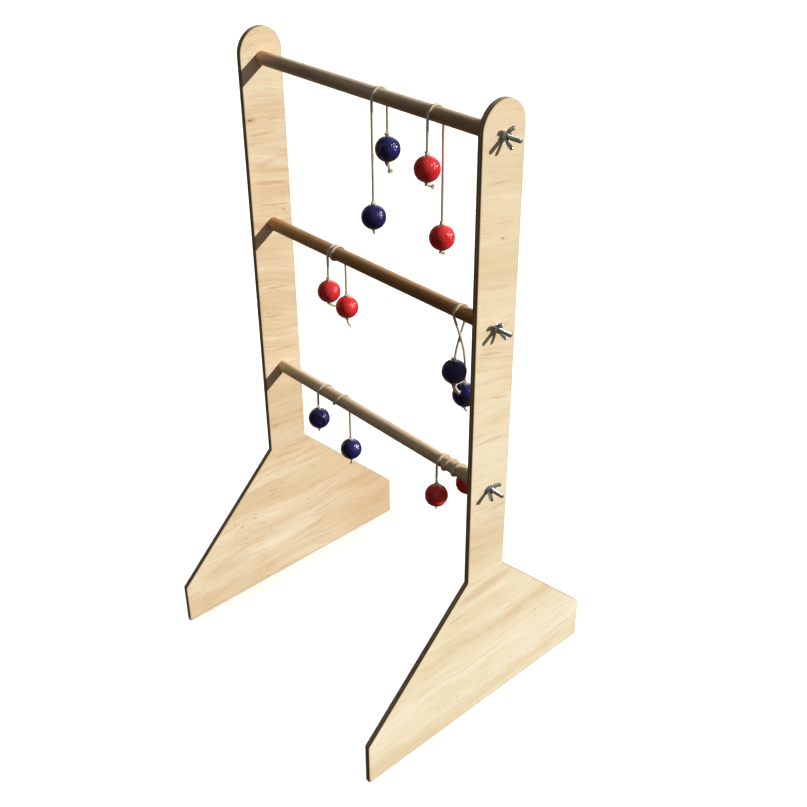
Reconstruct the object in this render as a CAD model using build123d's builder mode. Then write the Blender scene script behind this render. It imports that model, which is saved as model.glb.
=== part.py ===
"""Ladder toss frame: two plywood side panels, three dowel rungs held by hanger
bolts and wing nuts, and six two-ball bolas hanging over the rungs.

Millimetres. X runs along the rungs, Y from front (-) to back (+), Z up.
Origin: on the floor, midway between the panels and between the foot tips.
"""
import os
from math import cos, degrees, pi, radians, sin, sqrt, tan

from build123d import *

os.makedirs("parts", exist_ok=True)

# ------------------------------------------------------------ driving sizes
# side panels
inner_width = 575.0          # between the two panels' inner faces
panel_t = 10.0               # plywood thickness
panel_height = 1200.0
post_width = 90.0            # the top is a half round of this width
foot_width = 577.0
foot_end_height = 89.0       # short upright end of each foot
shoulder_height = 330.0      # where the sloped shoulder meets the post

# rungs
rung_d = 25.0
rung_heights = {"top": 1146.0, "middle": 833.0, "bottom": 520.0}
pilot_depth = 40.0           # hanger bolt's wood-screw half

# studs (M8 hanger bolts), washers, wing nuts
stud_d = 8.0
stud_out = 32.5              # beyond the panel's outer face
stud_chamfer = 0.9
panel_hole_d = 8.6
washer_d, washer_bore, washer_t = 16.0, 8.6, 1.6
nut_base_d, nut_top_d, nut_base_h = 15.6, 12.6, 8.0
nut_bore = 8.12              # running fit on the stud
wing_span, wing_height, wing_t = 37.8, 17.6, 4.6
seat_gap = 0.05
# wing direction, degrees from +Y towards +Z
wing_angle = {
    "top_right": 85.0, "middle_right": 111.0, "bottom_right": 50.0,
    "top_left": 68.0, "middle_left": 24.0, "bottom_left": 131.0,
}

# bolas
ball_d = 42.67
ball_bore = 5.2
cord_d = 4.2
cord_gap = 0.3               # between the rung's surface and the cord
knot_d, knot_h = 9.6, 7.0
tail_len = 15.0
wrap_step = 30.0             # degrees of turn at each corner of a wrap

# ------------------------------------------------------------ derived
half_in = inner_width / 2
face_out = half_in + panel_t
R = rung_d / 2
r = cord_d / 2
rho = R + r + cord_gap                       # centreline radius of a wrap
rho_c = rho / cos(radians(wrap_step / 2))    # corners of the wrap's route
ball_r = ball_d / 2


def save(part, node):
    part.label = node
    export_step(part, f"parts/{node}.step")


# ------------------------------------------------------------ side panels
for side, sx in (("left", -1), ("right", 1)):
    x_face = half_in if sx > 0 else -half_in
    with BuildPart() as panel:
        with BuildSketch(Plane(origin=(x_face, 0, 0), x_dir=(0, 1, 0), z_dir=(1, 0, 0))):
            with BuildLine():
                a, b = post_width / 2, foot_width / 2
                Polyline((-a, panel_height - a), (-a, shoulder_height), (-b, foot_end_height),
                         (-b, 0), (b, 0), (b, foot_end_height), (a, shoulder_height),
                         (a, panel_height - a))
                ThreePointArc((a, panel_height - a), (0, panel_height), (-a, panel_height - a))
            make_face()
        extrude(amount=sx * panel_t)
        for h in rung_heights.values():
            with BuildSketch(Plane(origin=(x_face, 0, h), x_dir=(0, 1, 0), z_dir=(1, 0, 0))):
                Circle(panel_hole_d / 2)
            extrude(amount=sx * panel_t, mode=Mode.SUBTRACT)
    save(panel.part, f"{side}_side_panel")

# ------------------------------------------------------------ rungs
for level, h in rung_heights.items():
    with BuildPart() as rung:
        with BuildSketch(Plane(origin=(-half_in, 0, h), x_dir=(0, 1, 0), z_dir=(1, 0, 0))):
            Circle(R)
        extrude(amount=inner_width)
        chamfer(rung.edges().filter_by(GeomType.CIRCLE), length=0.6)
        for x0, d in ((-half_in, 1), (half_in, -1)):
            with BuildSketch(Plane(origin=(x0, 0, h), x_dir=(0, 1, 0), z_dir=(1, 0, 0))):
                Circle(stud_d / 2)
            extrude(amount=d * pilot_depth, mode=Mode.SUBTRACT)
    save(rung.part, f"{level}_rung")

# ------------------------------------------------------------ studs, washers, nuts
for level, h in rung_heights.items():
    for side, sx in (("left", -1), ("right", 1)):
        axis_plane = Plane(origin=(sx * face_out, 0, h), x_dir=(0, 1, 0), z_dir=(sx, 0, 0))

        with BuildPart() as stud:
            with BuildSketch(axis_plane.offset(-panel_t - pilot_depth)):
                Circle(stud_d / 2)
            extrude(amount=pilot_depth + panel_t + stud_out)
            ends = stud.edges().filter_by(GeomType.CIRCLE)
            chamfer(ends, length=stud_chamfer)
        save(stud.part, f"{level}_{side}_stud")

        with BuildPart() as washer:
            with BuildSketch(axis_plane.offset(seat_gap)):
                Circle(washer_d / 2)
                Circle(washer_bore / 2, mode=Mode.SUBTRACT)
            extrude(amount=washer_t)
            chamfer(washer.edges().filter_by(GeomType.CIRCLE).sort_by(SortBy.RADIUS)[-2:], length=0.25)
        save(washer.part, f"{level}_{side}_washer")

        ang = radians(wing_angle[f"{level}_{side}"])
        radial = (0, cos(ang), sin(ang))
        seat = sx * (face_out + seat_gap + washer_t + seat_gap)
        # profile plane: local x is radial, local y is outward along the stud
        prof = Plane(origin=(seat, 0, h), x_dir=radial,
                     z_dir=Vector(*radial).cross(Vector(sx, 0, 0)))
        with BuildPart() as nut:
            with BuildSketch(prof):
                with BuildLine():
                    Polyline((0, 0), (nut_base_d / 2 - 0.5, 0), (nut_base_d / 2, 0.6),
                             (nut_base_d / 2, 1.8), (nut_top_d / 2, nut_base_h - 0.9),
                             (nut_top_d / 2 - 1.0, nut_base_h), (0, nut_base_h), close=True)
                make_face()
            revolve(axis=Axis((seat, 0, h), (sx, 0, 0)))
            for m in (1, -1):
                with BuildSketch(prof):
                    with BuildLine():
                        Spline((m * 4.6, 1.8), (m * 9.5, 2.8), (m * 13.9, 6.7), (m * 17.9, 12.6))
                        ThreePointArc((m * 17.9, 12.6), (m * wing_span / 2, 15.2), (m * 17.2, wing_height - 0.4))
                        ThreePointArc((m * 17.2, wing_height - 0.4), (m * 14.5, wing_height), (m * 12.0, 15.8))
                        Spline((m * 12.0, 15.8), (m * 8.9, 11.3), (m * 6.3, 8.7), (m * 4.6, 7.8))
                        Line((m * 4.6, 7.8), (m * 4.6, 1.8))
                    make_face()
                extrude(amount=wing_t / 2, both=True)
            with BuildSketch(axis_plane):
                Circle(nut_bore / 2)
            extrude(amount=40, mode=Mode.SUBTRACT)
        save(nut.part, f"{level}_{side}_wing_nut")


# ------------------------------------------------------------ bolas
knot_seat = sqrt(ball_r ** 2 - (ball_bore / 2) ** 2) + 0.35   # ball centre to the knot's face


def strand_plane(top, ball):
    """Plane at the ball's centre whose local y runs up the strand."""
    up = (Vector(*top) - Vector(*ball)).normalized()
    side = up.cross(Vector(0, 1, 0)).normalized()
    return Plane(origin=ball, x_dir=side, z_dir=side.cross(up)), up


def ball_solid(top, centre, node):
    plane, up = strand_plane(top, centre)
    with BuildPart() as ball:
        with BuildSketch(plane):
            with BuildLine():
                b2 = ball_bore / 2
                e = sqrt(ball_r ** 2 - b2 ** 2)
                ThreePointArc((b2, e), (ball_r, 0), (b2, -e))
                Line((b2, -e), (b2, e))
            make_face()
        revolve(axis=Axis(centre, (up.X, up.Y, up.Z)))
    save(ball.part, node)


def knotted_strand(top, ball, node):
    """Straight cord from its pivot down through the ball, rounded at the pivot,
    with a knot on each side of the ball and a short tail: one revolved solid."""
    plane, up = strand_plane(top, ball)
    length = (Vector(*top) - Vector(*ball)).length
    k, c, q = knot_d / 2, 1.6, knot_seat
    with BuildPart() as strand:
        with BuildSketch(plane):
            with BuildLine():
                RadiusArc((0, length + r), (r, length), r)
                Polyline((r, length), (r, q + knot_h), (k - c, q + knot_h), (k, q + knot_h - c),
                         (k, q + c), (k - c, q), (r, q), (r, -q), (k - c, -q), (k, -q - c),
                         (k, -q - knot_h + c), (k - c, -q - knot_h), (r, -q - knot_h),
                         (r, -q - knot_h - tail_len), (0, -q - knot_h - tail_len), (0, length + r))
            make_face()
        revolve(axis=Axis(ball, (up.X, up.Y, up.Z)))
    save(strand.part, node)
    return length


def tube_along(points, node):
    """Cord tube along straight runs joined by tangent arcs."""
    radii = []
    for i in range(1, len(points) - 1):
        p, q, s = Vector(*points[i - 1]), Vector(*points[i]), Vector(*points[i + 1])
        turn = radians((q - p).get_angle(s - q))
        run = min((q - p).length, (s - q).length)
        radii.append(0.45 * run / tan(turn / 2))
    with BuildPart() as tube:
        with BuildLine() as route:
            FilletPolyline(*points, radius=radii)
        wire = route.wires()[0]
        with BuildSketch(Plane(origin=wire @ 0, z_dir=wire % 0)):
            Circle(r)
        sweep(path=wire)
    save(tube.part, node)
    want = pi * r * r * wire.length
    print(f"{node}: length {wire.length:.1f}, volume ratio {tube.part.volume / want:.4f}, "
          f"cord radii {min(radii):.1f} to {max(radii):.1f}")
    return wire.length


def wrap_points(level, x_at, turns, z_front, z_back):
    """Corners of a wrap that comes up at the front, goes over the rung to the
    back, and ends going down at the back. x_at(t) gives X for t degrees of
    turn; z_front and z_back are the heights of its two ends."""
    h = rung_heights[level]
    total = 360 * turns
    n = round(total / wrap_step)
    corners = []
    for i in range(n):
        t = wrap_step * (i + 0.5)
        corners.append((x_at(t), -rho_c * cos(radians(t)), h + rho_c * sin(radians(t))))
    first = (x_at(0), -rho, z_front)
    last = (x_at(total), rho, z_back)
    return [first] + corners + [last]


def between(table):
    """Piecewise-linear X against degrees of turn."""
    def at(t):
        for (t0, x0), (t1, x1) in zip(table, table[1:]):
            if t <= t1:
                return x0 + (x1 - x0) * (t - t0) / (t1 - t0)
        return table[-1][1]
    return at


# name: rung, turns over the rung, X against degrees of turn,
#       ball height on the front strand and on the back strand
bolas = {
    "top_blue": ("top", 0.5, [(0, 24.0), (90, 26.0), (180, 28.0)], 943.5, 1055.0),
    "top_red": ("top", 0.5, [(0, 152.9), (90, 155.0), (180, 157.4)], 1061.5, 939.5),
    "middle_red": ("middle", 1.5, [(0, -105.5), (90, -104.6), (270, -100.6), (450, -94.8), (540, -91.6)],
                   759.0, 721.5),
    "bottom_blue": ("bottom", 1.5, [(0, -155.2), (90, -151.5), (180, -144.0), (270, -122.0), (360, -102.5),
                                    (450, -96.4), (540, -94.2)], 460.0, 402.0),
    "bottom_red": ("bottom", 2.5, [(0, 182.6), (90, 184.4), (180, 186.8), (270, 190.6), (360, 196.0),
                                   (450, 203.8), (540, 210.2), (630, 215.2), (720, 219.8), (810, 224.8),
                                   (900, 228.8)], 451.0, 487.0),
}
pivot_drop = 8.0                       # a strand swings from this far below the rung's axis height
joint_gap = 0.3                        # between a strand's rounded top and the end above it
cut_up = r + joint_gap
# the last red ball hangs close under the rung, which pushes it outward
short_back = {"bottom_red": (1.5, (228.2, 18.0))}
lengths = {}
for name, (level, turns, table, z_front, z_back) in bolas.items():
    h = rung_heights[level]
    x_at = between(table)
    back_drop, back_xy = short_back.get(name, (pivot_drop, (table[-1][1], rho)))
    front_top = (table[0][1], -rho, h - pivot_drop)
    back_top = (table[-1][1], rho, h - back_drop)
    front_centre = (table[0][1], -rho, z_front)
    back_centre = (*back_xy, z_back)
    over_len = tube_along(wrap_points(level, x_at, turns, front_top[2] + cut_up, back_top[2] + cut_up),
                          f"{name}_cord_over_rung")
    lf = knotted_strand(front_top, front_centre, f"{name}_front_cord")
    lb = knotted_strand(back_top, back_centre, f"{name}_back_cord")
    ball_solid(front_top, front_centre, f"{name}_front_ball")
    ball_solid(back_top, back_centre, f"{name}_back_ball")
    lengths[name] = over_len + 2 * cut_up + lf + lb

# The middle blue bola: half a turn over the rung, then the two strands cross,
# and the front strand carries the lower ball, behind.
name, level = "middle_blue", "middle"
h = rung_heights[level]
x_front, x_back = 216.6, 220.4         # where the strands leave the rung
cross_z, cross_dx = 785.0, 2.3         # half the sideways gap where they cross
cross_x = 219.4
pair_y = 12.0                          # the balls hang this far behind and in front
fall_z = 741.0                         # below this the strands hang straight down
upper_ball_z, lower_ball_z = 725.0, 670.6
front_cross = (cross_x + cross_dx, 0.0, cross_z)
back_cross = (cross_x - cross_dx, 0.0, cross_z)


def toward(p, q, d):
    k = d / sqrt(sum((b - a) ** 2 for a, b in zip(p, q)))
    return tuple(a + (b - a) * k for a, b in zip(p, q))


corners = []
for i in range(6):
    t = wrap_step * (i + 0.5)
    corners.append((x_front + (x_back - x_front) * t / 180,
                    -rho_c * cos(radians(t)), h + rho_c * sin(radians(t))))
start = (x_front, -rho, h - 3.5)
finish = (x_back, rho, h - 3.5)
front_end = toward(front_cross, start, cut_up)
back_end = toward(back_cross, finish, cut_up)
over_len = tube_along([front_end, start] + corners + [finish, back_end], f"{name}_cord_over_rung")


def hanging_pair_strand(cross, x_ball, y_ball, z_ball, node):
    """Cord from the crossing to its ball: a sloping run, an easy bend, then
    straight down through the ball, with the two knots and the tail."""
    seat = knot_seat
    bottom = z_ball - seat - knot_h - tail_len
    bend = (x_ball, y_ball, max(fall_z, z_ball + seat + knot_h / 2))
    pts = [cross, bend, (x_ball, y_ball, bottom)]
    p, q, s = (Vector(*v) for v in pts)
    turn = radians((q - p).get_angle(s - q))
    run = min((q - p).length, (s - q).length)
    rad = 0.45 * run / tan(turn / 2)
    if q.Z < z_ball + seat + knot_h:     # the bend lies inside the knot
        rad = 0.45 * knot_h / tan(turn / 2)
    with BuildPart() as strand:
        with BuildLine() as route:
            FilletPolyline(*pts, radius=rad)
        wire = route.wires()[0]
        with BuildSketch(Plane(origin=wire @ 0, z_dir=wire % 0)):
            Circle(r)
        sweep(path=wire)
        with Locations(cross):
            Sphere(r)
        k, c = knot_d / 2, 1.6
        for z0 in (z_ball + seat, z_ball - seat - knot_h):
            with BuildSketch(Plane(origin=(x_ball, y_ball, z0), x_dir=(1, 0, 0), z_dir=(0, -1, 0))):
                with BuildLine():
                    Polyline((0, 0), (k - c, 0), (k, c), (k, knot_h - c), (k - c, knot_h),
                             (0, knot_h), close=True)
                make_face()
            revolve(axis=Axis((x_ball, y_ball, z0), (0, 0, 1)))
    save(strand.part, node)
    print(f"{node}: radius {rad:.1f}, run turn {degrees(turn):.1f} deg, solids {len(strand.part.solids())}")
    return wire.length - (z_ball - bottom)


lower = (cross_x + 1.2, pair_y, lower_ball_z)
upper = (cross_x - 1.0, -pair_y, upper_ball_z)
la = hanging_pair_strand(front_cross, *lower, f"{name}_lower_cord")
lb = hanging_pair_strand(back_cross, *upper, f"{name}_upper_cord")
ball_solid((lower[0], lower[1], lower[2] + 50), lower, f"{name}_lower_ball")
ball_solid((upper[0], upper[1], upper[2] + 50), upper, f"{name}_upper_ball")
lengths[name] = over_len + 2 * cut_up + la + lb

for name, length in lengths.items():
    print(f"{name}: cord between ball centres {length:.1f}")
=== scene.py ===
import math

import bmesh
import bpy
import numpy as np
from mathutils import Matrix, Vector
from mathutils.geometry import tessellate_polygon
from mathutils.kdtree import KDTree


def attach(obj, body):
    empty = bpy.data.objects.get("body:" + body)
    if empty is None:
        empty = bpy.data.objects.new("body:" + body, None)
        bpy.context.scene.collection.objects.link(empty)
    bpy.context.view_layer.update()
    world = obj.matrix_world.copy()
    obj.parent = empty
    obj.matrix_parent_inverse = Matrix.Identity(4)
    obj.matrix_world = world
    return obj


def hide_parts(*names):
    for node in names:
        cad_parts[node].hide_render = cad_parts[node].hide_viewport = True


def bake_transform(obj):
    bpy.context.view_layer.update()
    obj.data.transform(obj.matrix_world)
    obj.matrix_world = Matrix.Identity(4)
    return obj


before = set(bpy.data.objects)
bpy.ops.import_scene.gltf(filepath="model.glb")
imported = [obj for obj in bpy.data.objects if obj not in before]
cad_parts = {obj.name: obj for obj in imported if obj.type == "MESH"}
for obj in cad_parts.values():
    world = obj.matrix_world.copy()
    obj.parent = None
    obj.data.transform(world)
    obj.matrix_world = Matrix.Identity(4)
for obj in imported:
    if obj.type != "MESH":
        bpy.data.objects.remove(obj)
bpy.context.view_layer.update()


MM = 0.001
pi = math.pi

# ------------------------------------------------------------ sizes, in mm, as in the CAD model
IN, T = 287.5, 10.0                      # panel's inner face, ply thickness
OUT = IN + T
LEVELS = {"top": 1146.0, "middle": 833.0, "bottom": 520.0}
RUNG_R, STUD_R = 12.5, 4.0
BALL_R, CORD_R, RHO = 21.335, 2.1, 14.9
RHO_C = RHO / math.cos(math.radians(15))
WING_ANGLE = {"top_right": 85, "middle_right": 111, "bottom_right": 50,
              "top_left": 68, "middle_left": 24, "bottom_left": 131}
KNOT_SEAT, KNOT_H, TAIL = 21.52, 7.0, 15.0


def mm(points):
    return [tuple(float(c) * MM for c in p) for p in points]


# ------------------------------------------------------------ camera
def make_camera():
    pos = Vector((1.360992, -1.171893, 1.670725))
    az, el, roll = math.radians(47.566), math.radians(31.801), math.radians(-0.326)
    back = Vector((math.sin(az) * math.cos(el), -math.cos(az) * math.cos(el), math.sin(el)))
    right = (-back).cross(Vector((0, 0, 1))).normalized()
    up = right.cross(-back)
    r2 = right * math.cos(roll) + up * math.sin(roll)
    u2 = -right * math.sin(roll) + up * math.cos(roll)
    data = bpy.data.cameras.new("camera")
    data.sensor_width, data.lens = 36.0, 50.13
    data.clip_start, data.clip_end = 0.05, 60
    cam = bpy.data.objects.new("camera", data)
    cam.matrix_world = Matrix(((r2.x, u2.x, back.x, pos.x), (r2.y, u2.y, back.y, pos.y),
                               (r2.z, u2.z, back.z, pos.z), (0, 0, 0, 1)))
    bpy.context.scene.collection.objects.link(cam)
    bpy.context.scene.camera = cam


make_camera()


# ------------------------------------------------------------ node helpers
def lin(r, g, b):
    def f(c):
        c /= 255.0
        return c / 12.92 if c <= 0.04045 else ((c + 0.055) / 1.055) ** 2.4
    return (f(r), f(g), f(b), 1.0)


class Mat:
    """A material, with short names for the nodes it is made of."""

    def __init__(self, name, rough=0.5, spec=0.5, metal=0.0):
        self.mat = bpy.data.materials.new(name)
        self.mat.use_nodes = True
        self.nt = self.mat.node_tree
        self.nt.nodes.clear()
        self.out = self.nt.nodes.new("ShaderNodeOutputMaterial")
        self.b = self.nt.nodes.new("ShaderNodeBsdfPrincipled")
        self.nt.links.new(self.b.outputs["BSDF"], self.out.inputs["Surface"])
        self.b.inputs["Roughness"].default_value = rough
        self.b.inputs["Specular IOR Level"].default_value = spec
        self.b.inputs["Metallic"].default_value = metal

    def put(self, socket, value):
        if isinstance(value, bpy.types.NodeSocket):
            self.nt.links.new(value, socket)
        elif value is not None:
            socket.default_value = value

    def position(self):
        n = self.nt.nodes.new("ShaderNodeTexCoord")
        return n.outputs["Object"]

    def attribute(self, name, kind="Fac"):
        n = self.nt.nodes.new("ShaderNodeAttribute")
        n.attribute_name = name
        return n.outputs[kind]

    def scale(self, vector, xyz, offset=(0, 0, 0)):
        n = self.nt.nodes.new("ShaderNodeVectorMath")
        n.operation = "MULTIPLY_ADD"
        self.put(n.inputs[0], vector)
        n.inputs[1].default_value = xyz
        n.inputs[2].default_value = offset
        return n.outputs[0]

    def vadd(self, a, b):
        n = self.nt.nodes.new("ShaderNodeVectorMath")
        n.operation = "ADD"
        self.put(n.inputs[0], a)
        self.put(n.inputs[1], b)
        return n.outputs[0]

    def noise(self, vector, scale=1.0, detail=3.0, rough=0.5, distortion=0.0, colour=False):
        n = self.nt.nodes.new("ShaderNodeTexNoise")
        self.put(n.inputs["Vector"], vector)
        n.inputs["Scale"].default_value = scale
        n.inputs["Detail"].default_value = detail
        n.inputs["Roughness"].default_value = rough
        n.inputs["Distortion"].default_value = distortion
        return n.outputs["Color" if colour else "Fac"]

    def math(self, op, a, b=None, c=None, clamp=False):
        n = self.nt.nodes.new("ShaderNodeMath")
        n.operation, n.use_clamp = op, clamp
        for s, v in zip(n.inputs, (a, b, c)):
            self.put(s, v)
        return n.outputs[0]

    def remap(self, v, lo, hi, to_lo=0.0, to_hi=1.0, smooth=False):
        n = self.nt.nodes.new("ShaderNodeMapRange")
        n.clamp = True
        if smooth:
            n.interpolation_type = "SMOOTHSTEP"
        self.put(n.inputs["Value"], v)
        for k, x in (("From Min", lo), ("From Max", hi), ("To Min", to_lo), ("To Max", to_hi)):
            n.inputs[k].default_value = x
        return n.outputs[0]

    def mix(self, fac, a, b, mode="MIX"):
        n = self.nt.nodes.new("ShaderNodeMix")
        n.data_type, n.blend_type = "RGBA", mode
        self.put(n.inputs["Factor"], fac)
        self.put(n.inputs["A"], a)
        self.put(n.inputs["B"], b)
        return n.outputs["Result"]

    def ramp(self, v, stops):
        n = self.nt.nodes.new("ShaderNodeValToRGB")
        e = n.color_ramp.elements
        while len(e) < len(stops):
            e.new(0.5)
        for el, (p, c) in zip(e, stops):
            el.position, el.color = p, c
        self.put(n.inputs["Fac"], v)
        return n.outputs["Color"]

    def split(self, vector):
        n = self.nt.nodes.new("ShaderNodeSeparateXYZ")
        self.put(n.inputs[0], vector)
        return n.outputs

    def join(self, x, y, z):
        n = self.nt.nodes.new("ShaderNodeCombineXYZ")
        for s, v in zip(n.inputs, (x, y, z)):
            self.put(s, v)
        return n.outputs[0]

    def bump(self, height, distance, strength=1.0):
        n = self.nt.nodes.new("ShaderNodeBump")
        n.inputs["Strength"].default_value = strength
        n.inputs["Distance"].default_value = distance
        self.put(n.inputs["Height"], height)
        self.put(self.b.inputs["Normal"], n.outputs["Normal"])

    def colour(self, v):
        self.put(self.b.inputs["Base Color"], v)

    def rough(self, v):
        self.put(self.b.inputs["Roughness"], v)


# ------------------------------------------------------------ mesh helpers
def mesh_object(name, verts_mm, faces, materials, smooth=True, sharp=35.0, face_mats=None, floats=None,
                vectors=None):
    me = bpy.data.meshes.new(name)
    v = np.asarray(verts_mm, float) * MM
    me.from_pydata(v.tolist(), [], [tuple(int(i) for i in f) for f in faces])
    for m in materials:
        me.materials.append(m)
    if face_mats is not None:
        me.polygons.foreach_set("material_index", np.asarray(face_mats, np.int32))
    for key, values in (floats or {}).items():
        a = me.attributes.new(key, "FLOAT", "POINT")
        a.data.foreach_set("value", np.asarray(values, np.float32))
    for key, values in (vectors or {}).items():
        a = me.attributes.new(key, "FLOAT_VECTOR", "POINT")
        a.data.foreach_set("vector", np.asarray(values, np.float32).ravel())
    me.validate()
    me.update()
    if smooth:
        me.polygons.foreach_set("use_smooth", np.ones(len(me.polygons), bool))
        me.set_sharp_from_angle(angle=math.radians(sharp))
    o = bpy.data.objects.new(name, me)
    bpy.context.scene.collection.objects.link(o)
    return o


def ring_faces(n_rings, n_around, start=0, flip=False):
    out = []
    for i in range(n_rings - 1):
        a, b = start + i * n_around, start + (i + 1) * n_around
        for j in range(n_around):
            k = (j + 1) % n_around
            out.append((a + j, b + j, b + k, a + k) if not flip else (a + j, a + k, b + k, b + j))
    return out


def lathe_x(profile, n, centre, sign=1):
    """profile: (radius, x) pairs in mm, closed round; turned about X through centre."""
    ang = np.linspace(0, 2 * pi, n, endpoint=False)
    v = [(centre[0] + sign * x, centre[1] + r * math.cos(a), centre[2] + r * math.sin(a))
         for r, x in profile for a in ang]
    return v


# ------------------------------------------------------------ plywood
def plywood(name, tint, z_fade, low_tone, back_tone, figure, seed, marks, knots):
    """Pale rotary-cut plywood face: grain along Y, which wanders, with tan bands, short
    brown flecks and a few pin knots. A thin tan line follows the cut edge."""
    m = Mat(name, rough=0.58, spec=0.28)
    p = m.position()
    xyz = m.split(p)
    y, z = xyz[1], xyz[2]
    # the grain wanders: height is shifted by slow noise, and falls a little towards the back
    slow = m.noise(m.scale(p, (0.0, 3.2, 4.5), (seed, seed * 1.7, seed * 0.6)), detail=2.0)
    slow2 = m.noise(m.scale(p, (0.0, 11.0, 12.0), (seed * 2.1, 4.0, seed)), detail=2.0)
    post = m.remap(z, 0.26, 0.42, smooth=True)
    fall = m.math("MULTIPLY", m.math("MULTIPLY", y, 0.20), post)
    warp = m.math("MULTIPLY_ADD", m.math("SUBTRACT", slow, 0.5), 0.075, fall)
    warp = m.math("MULTIPLY_ADD", m.math("SUBTRACT", slow2, 0.5), 0.014, warp)
    g = m.join(seed * 0.31, y, m.math("ADD", z, warp))
    broad = m.noise(m.scale(g, (1, 1.6, 13.0)), detail=3.0, rough=0.55)
    mid = m.noise(m.scale(g, (1, 4.5, 62.0), (2.0, 1.0, 0.0)), detail=3.0, rough=0.55, distortion=0.25)
    fine = m.noise(m.scale(g, (1, 16.0, 420.0), (5.0, 0.0, 0.0)), detail=3.0, rough=0.6)
    wave = m.nt.nodes.new("ShaderNodeTexWave")
    wave.wave_type, wave.bands_direction, wave.wave_profile = "BANDS", "Z", "SIN"
    m.put(wave.inputs["Vector"], m.scale(g, (0, 1.6, 9.0)))
    wave.inputs["Scale"].default_value = 1.5
    wave.inputs["Distortion"].default_value = 7.5
    wave.inputs["Detail"].default_value = 2.5
    wave.inputs["Detail Scale"].default_value = 0.9
    rings = m.remap(wave.outputs["Fac"], 0.66, 1.0, smooth=True)
    col = m.ramp(broad, [(0.30, lin(*tint[0])), (0.50, lin(*tint[1])), (0.68, lin(*tint[2]))])
    col = m.mix(m.remap(z, 0.35, 1.15, 0.0, z_fade), col, lin(*tint[3]))
    cloud = m.noise(m.scale(p, (0, 9.0, 12.0), (seed * 0.7, 2.0, 1.0)), detail=3.0, rough=0.55)
    patchy = m.remap(cloud, 0.38, 0.62, 0.25, 1.0, smooth=True)
    col = m.mix(m.math("MULTIPLY", m.remap(cloud, 0.50, 0.68, smooth=True), 0.20), col, lin(214, 182, 136))
    col = m.mix(m.math("MULTIPLY", m.math("MULTIPLY", rings, patchy), 0.17 * figure), col, lin(208, 174, 130))
    col = m.mix(m.math("MULTIPLY", m.math("MULTIPLY", m.remap(mid, 0.50, 0.72), patchy), 0.34 * figure), col,
                lin(202, 166, 122))
    col = m.mix(m.math("MULTIPLY", m.remap(mid, 0.44, 0.28), 0.20 * figure), col, lin(248, 236, 212))
    col = m.mix(m.math("MULTIPLY", m.remap(fine, 0.50, 0.72), 0.24 * figure), col, lin(196, 158, 112))
    # short brown flecks, in patches
    patch = m.remap(m.noise(m.scale(p, (0, 7.0, 9.0), (seed, 0, 3.0)), detail=1.0), 0.50, 0.66)
    fleck = m.remap(m.noise(m.scale(g, (1, 55.0, 460.0), (0, 9.0, seed)), detail=1.0), 0.665, 0.72)
    col = m.mix(m.math("MULTIPLY", m.math("MULTIPLY", fleck, patch), 0.44 * figure), col, lin(166, 120, 82))
    # named features: darker grain lines and knots, (y, z, tilt, half length, half width, strength)
    for (my, mz, tilt, ln, wd, st) in marks:
        c, s = math.cos(tilt), math.sin(tilt)
        dy, dz = m.math("SUBTRACT", y, my * MM), m.math("SUBTRACT", z, mz * MM)
        a = m.math("ADD", m.math("MULTIPLY", dy, c), m.math("MULTIPLY", dz, s))
        b = m.math("SUBTRACT", m.math("MULTIPLY", dz, c), m.math("MULTIPLY", dy, s))
        b = m.math("MULTIPLY_ADD", m.math("SUBTRACT", slow2, 0.5), 0.010, b)
        a = m.math("MULTIPLY", a, 1.0 / (ln * MM))
        b = m.math("MULTIPLY", b, 1.0 / (wd * MM))
        r2 = m.math("ADD", m.math("MULTIPLY", a, a), m.math("MULTIPLY", b, b))
        k = m.math("MULTIPLY", m.remap(r2, 1.0, 0.0, smooth=True), st)
        k = m.math("MULTIPLY", k, m.remap(fine, 0.30, 0.60, 0.55, 1.0))
        col = m.mix(k, col, lin(190, 140, 96))
    for (ky, kz, rad) in knots:
        dy = m.math("MULTIPLY", m.math("SUBTRACT", y, ky * MM), 0.42)
        dz = m.math("SUBTRACT", z, kz * MM)
        r = m.math("SQRT", m.math("ADD", m.math("MULTIPLY", dy, dy), m.math("MULTIPLY", dz, dz)))
        r = m.math("MULTIPLY_ADD", m.math("SUBTRACT", mid, 0.5), 0.004, r)
        col = m.mix(m.remap(r, rad * 3.2 * MM, 0.0, 0.0, 0.55, smooth=True), col, lin(190, 128, 92))
        col = m.mix(m.remap(r, rad * 0.9 * MM, rad * 0.2 * MM, 0.0, 0.85), col, lin(112, 70, 46))
    # the posts are a little darker just above the foot, the left foot towards its back
    low = m.math("MULTIPLY", m.remap(z, 0.30, 0.38, smooth=True), m.remap(z, 0.56, 0.42, smooth=True))
    col = m.mix(m.math("MULTIPLY", low, low_tone), col, lin(196, 162, 118))
    col = m.mix(m.math("MULTIPLY", m.remap(y, 0.02, 0.24, smooth=True), back_tone), col, lin(206, 166, 114))
    soot = m.attribute("edge")
    col = m.mix(m.math("MULTIPLY", soot, 0.42), col, lin(176, 120, 66))
    m.colour(col)
    m.rough(m.remap(mid, 0.3, 0.7, 0.52, 0.66))
    m.bump(m.math("ADD", m.math("MULTIPLY", fine, 0.7), m.math("MULTIPLY", mid, 0.5)), 0.00010, 0.55)
    return m.mat


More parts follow.
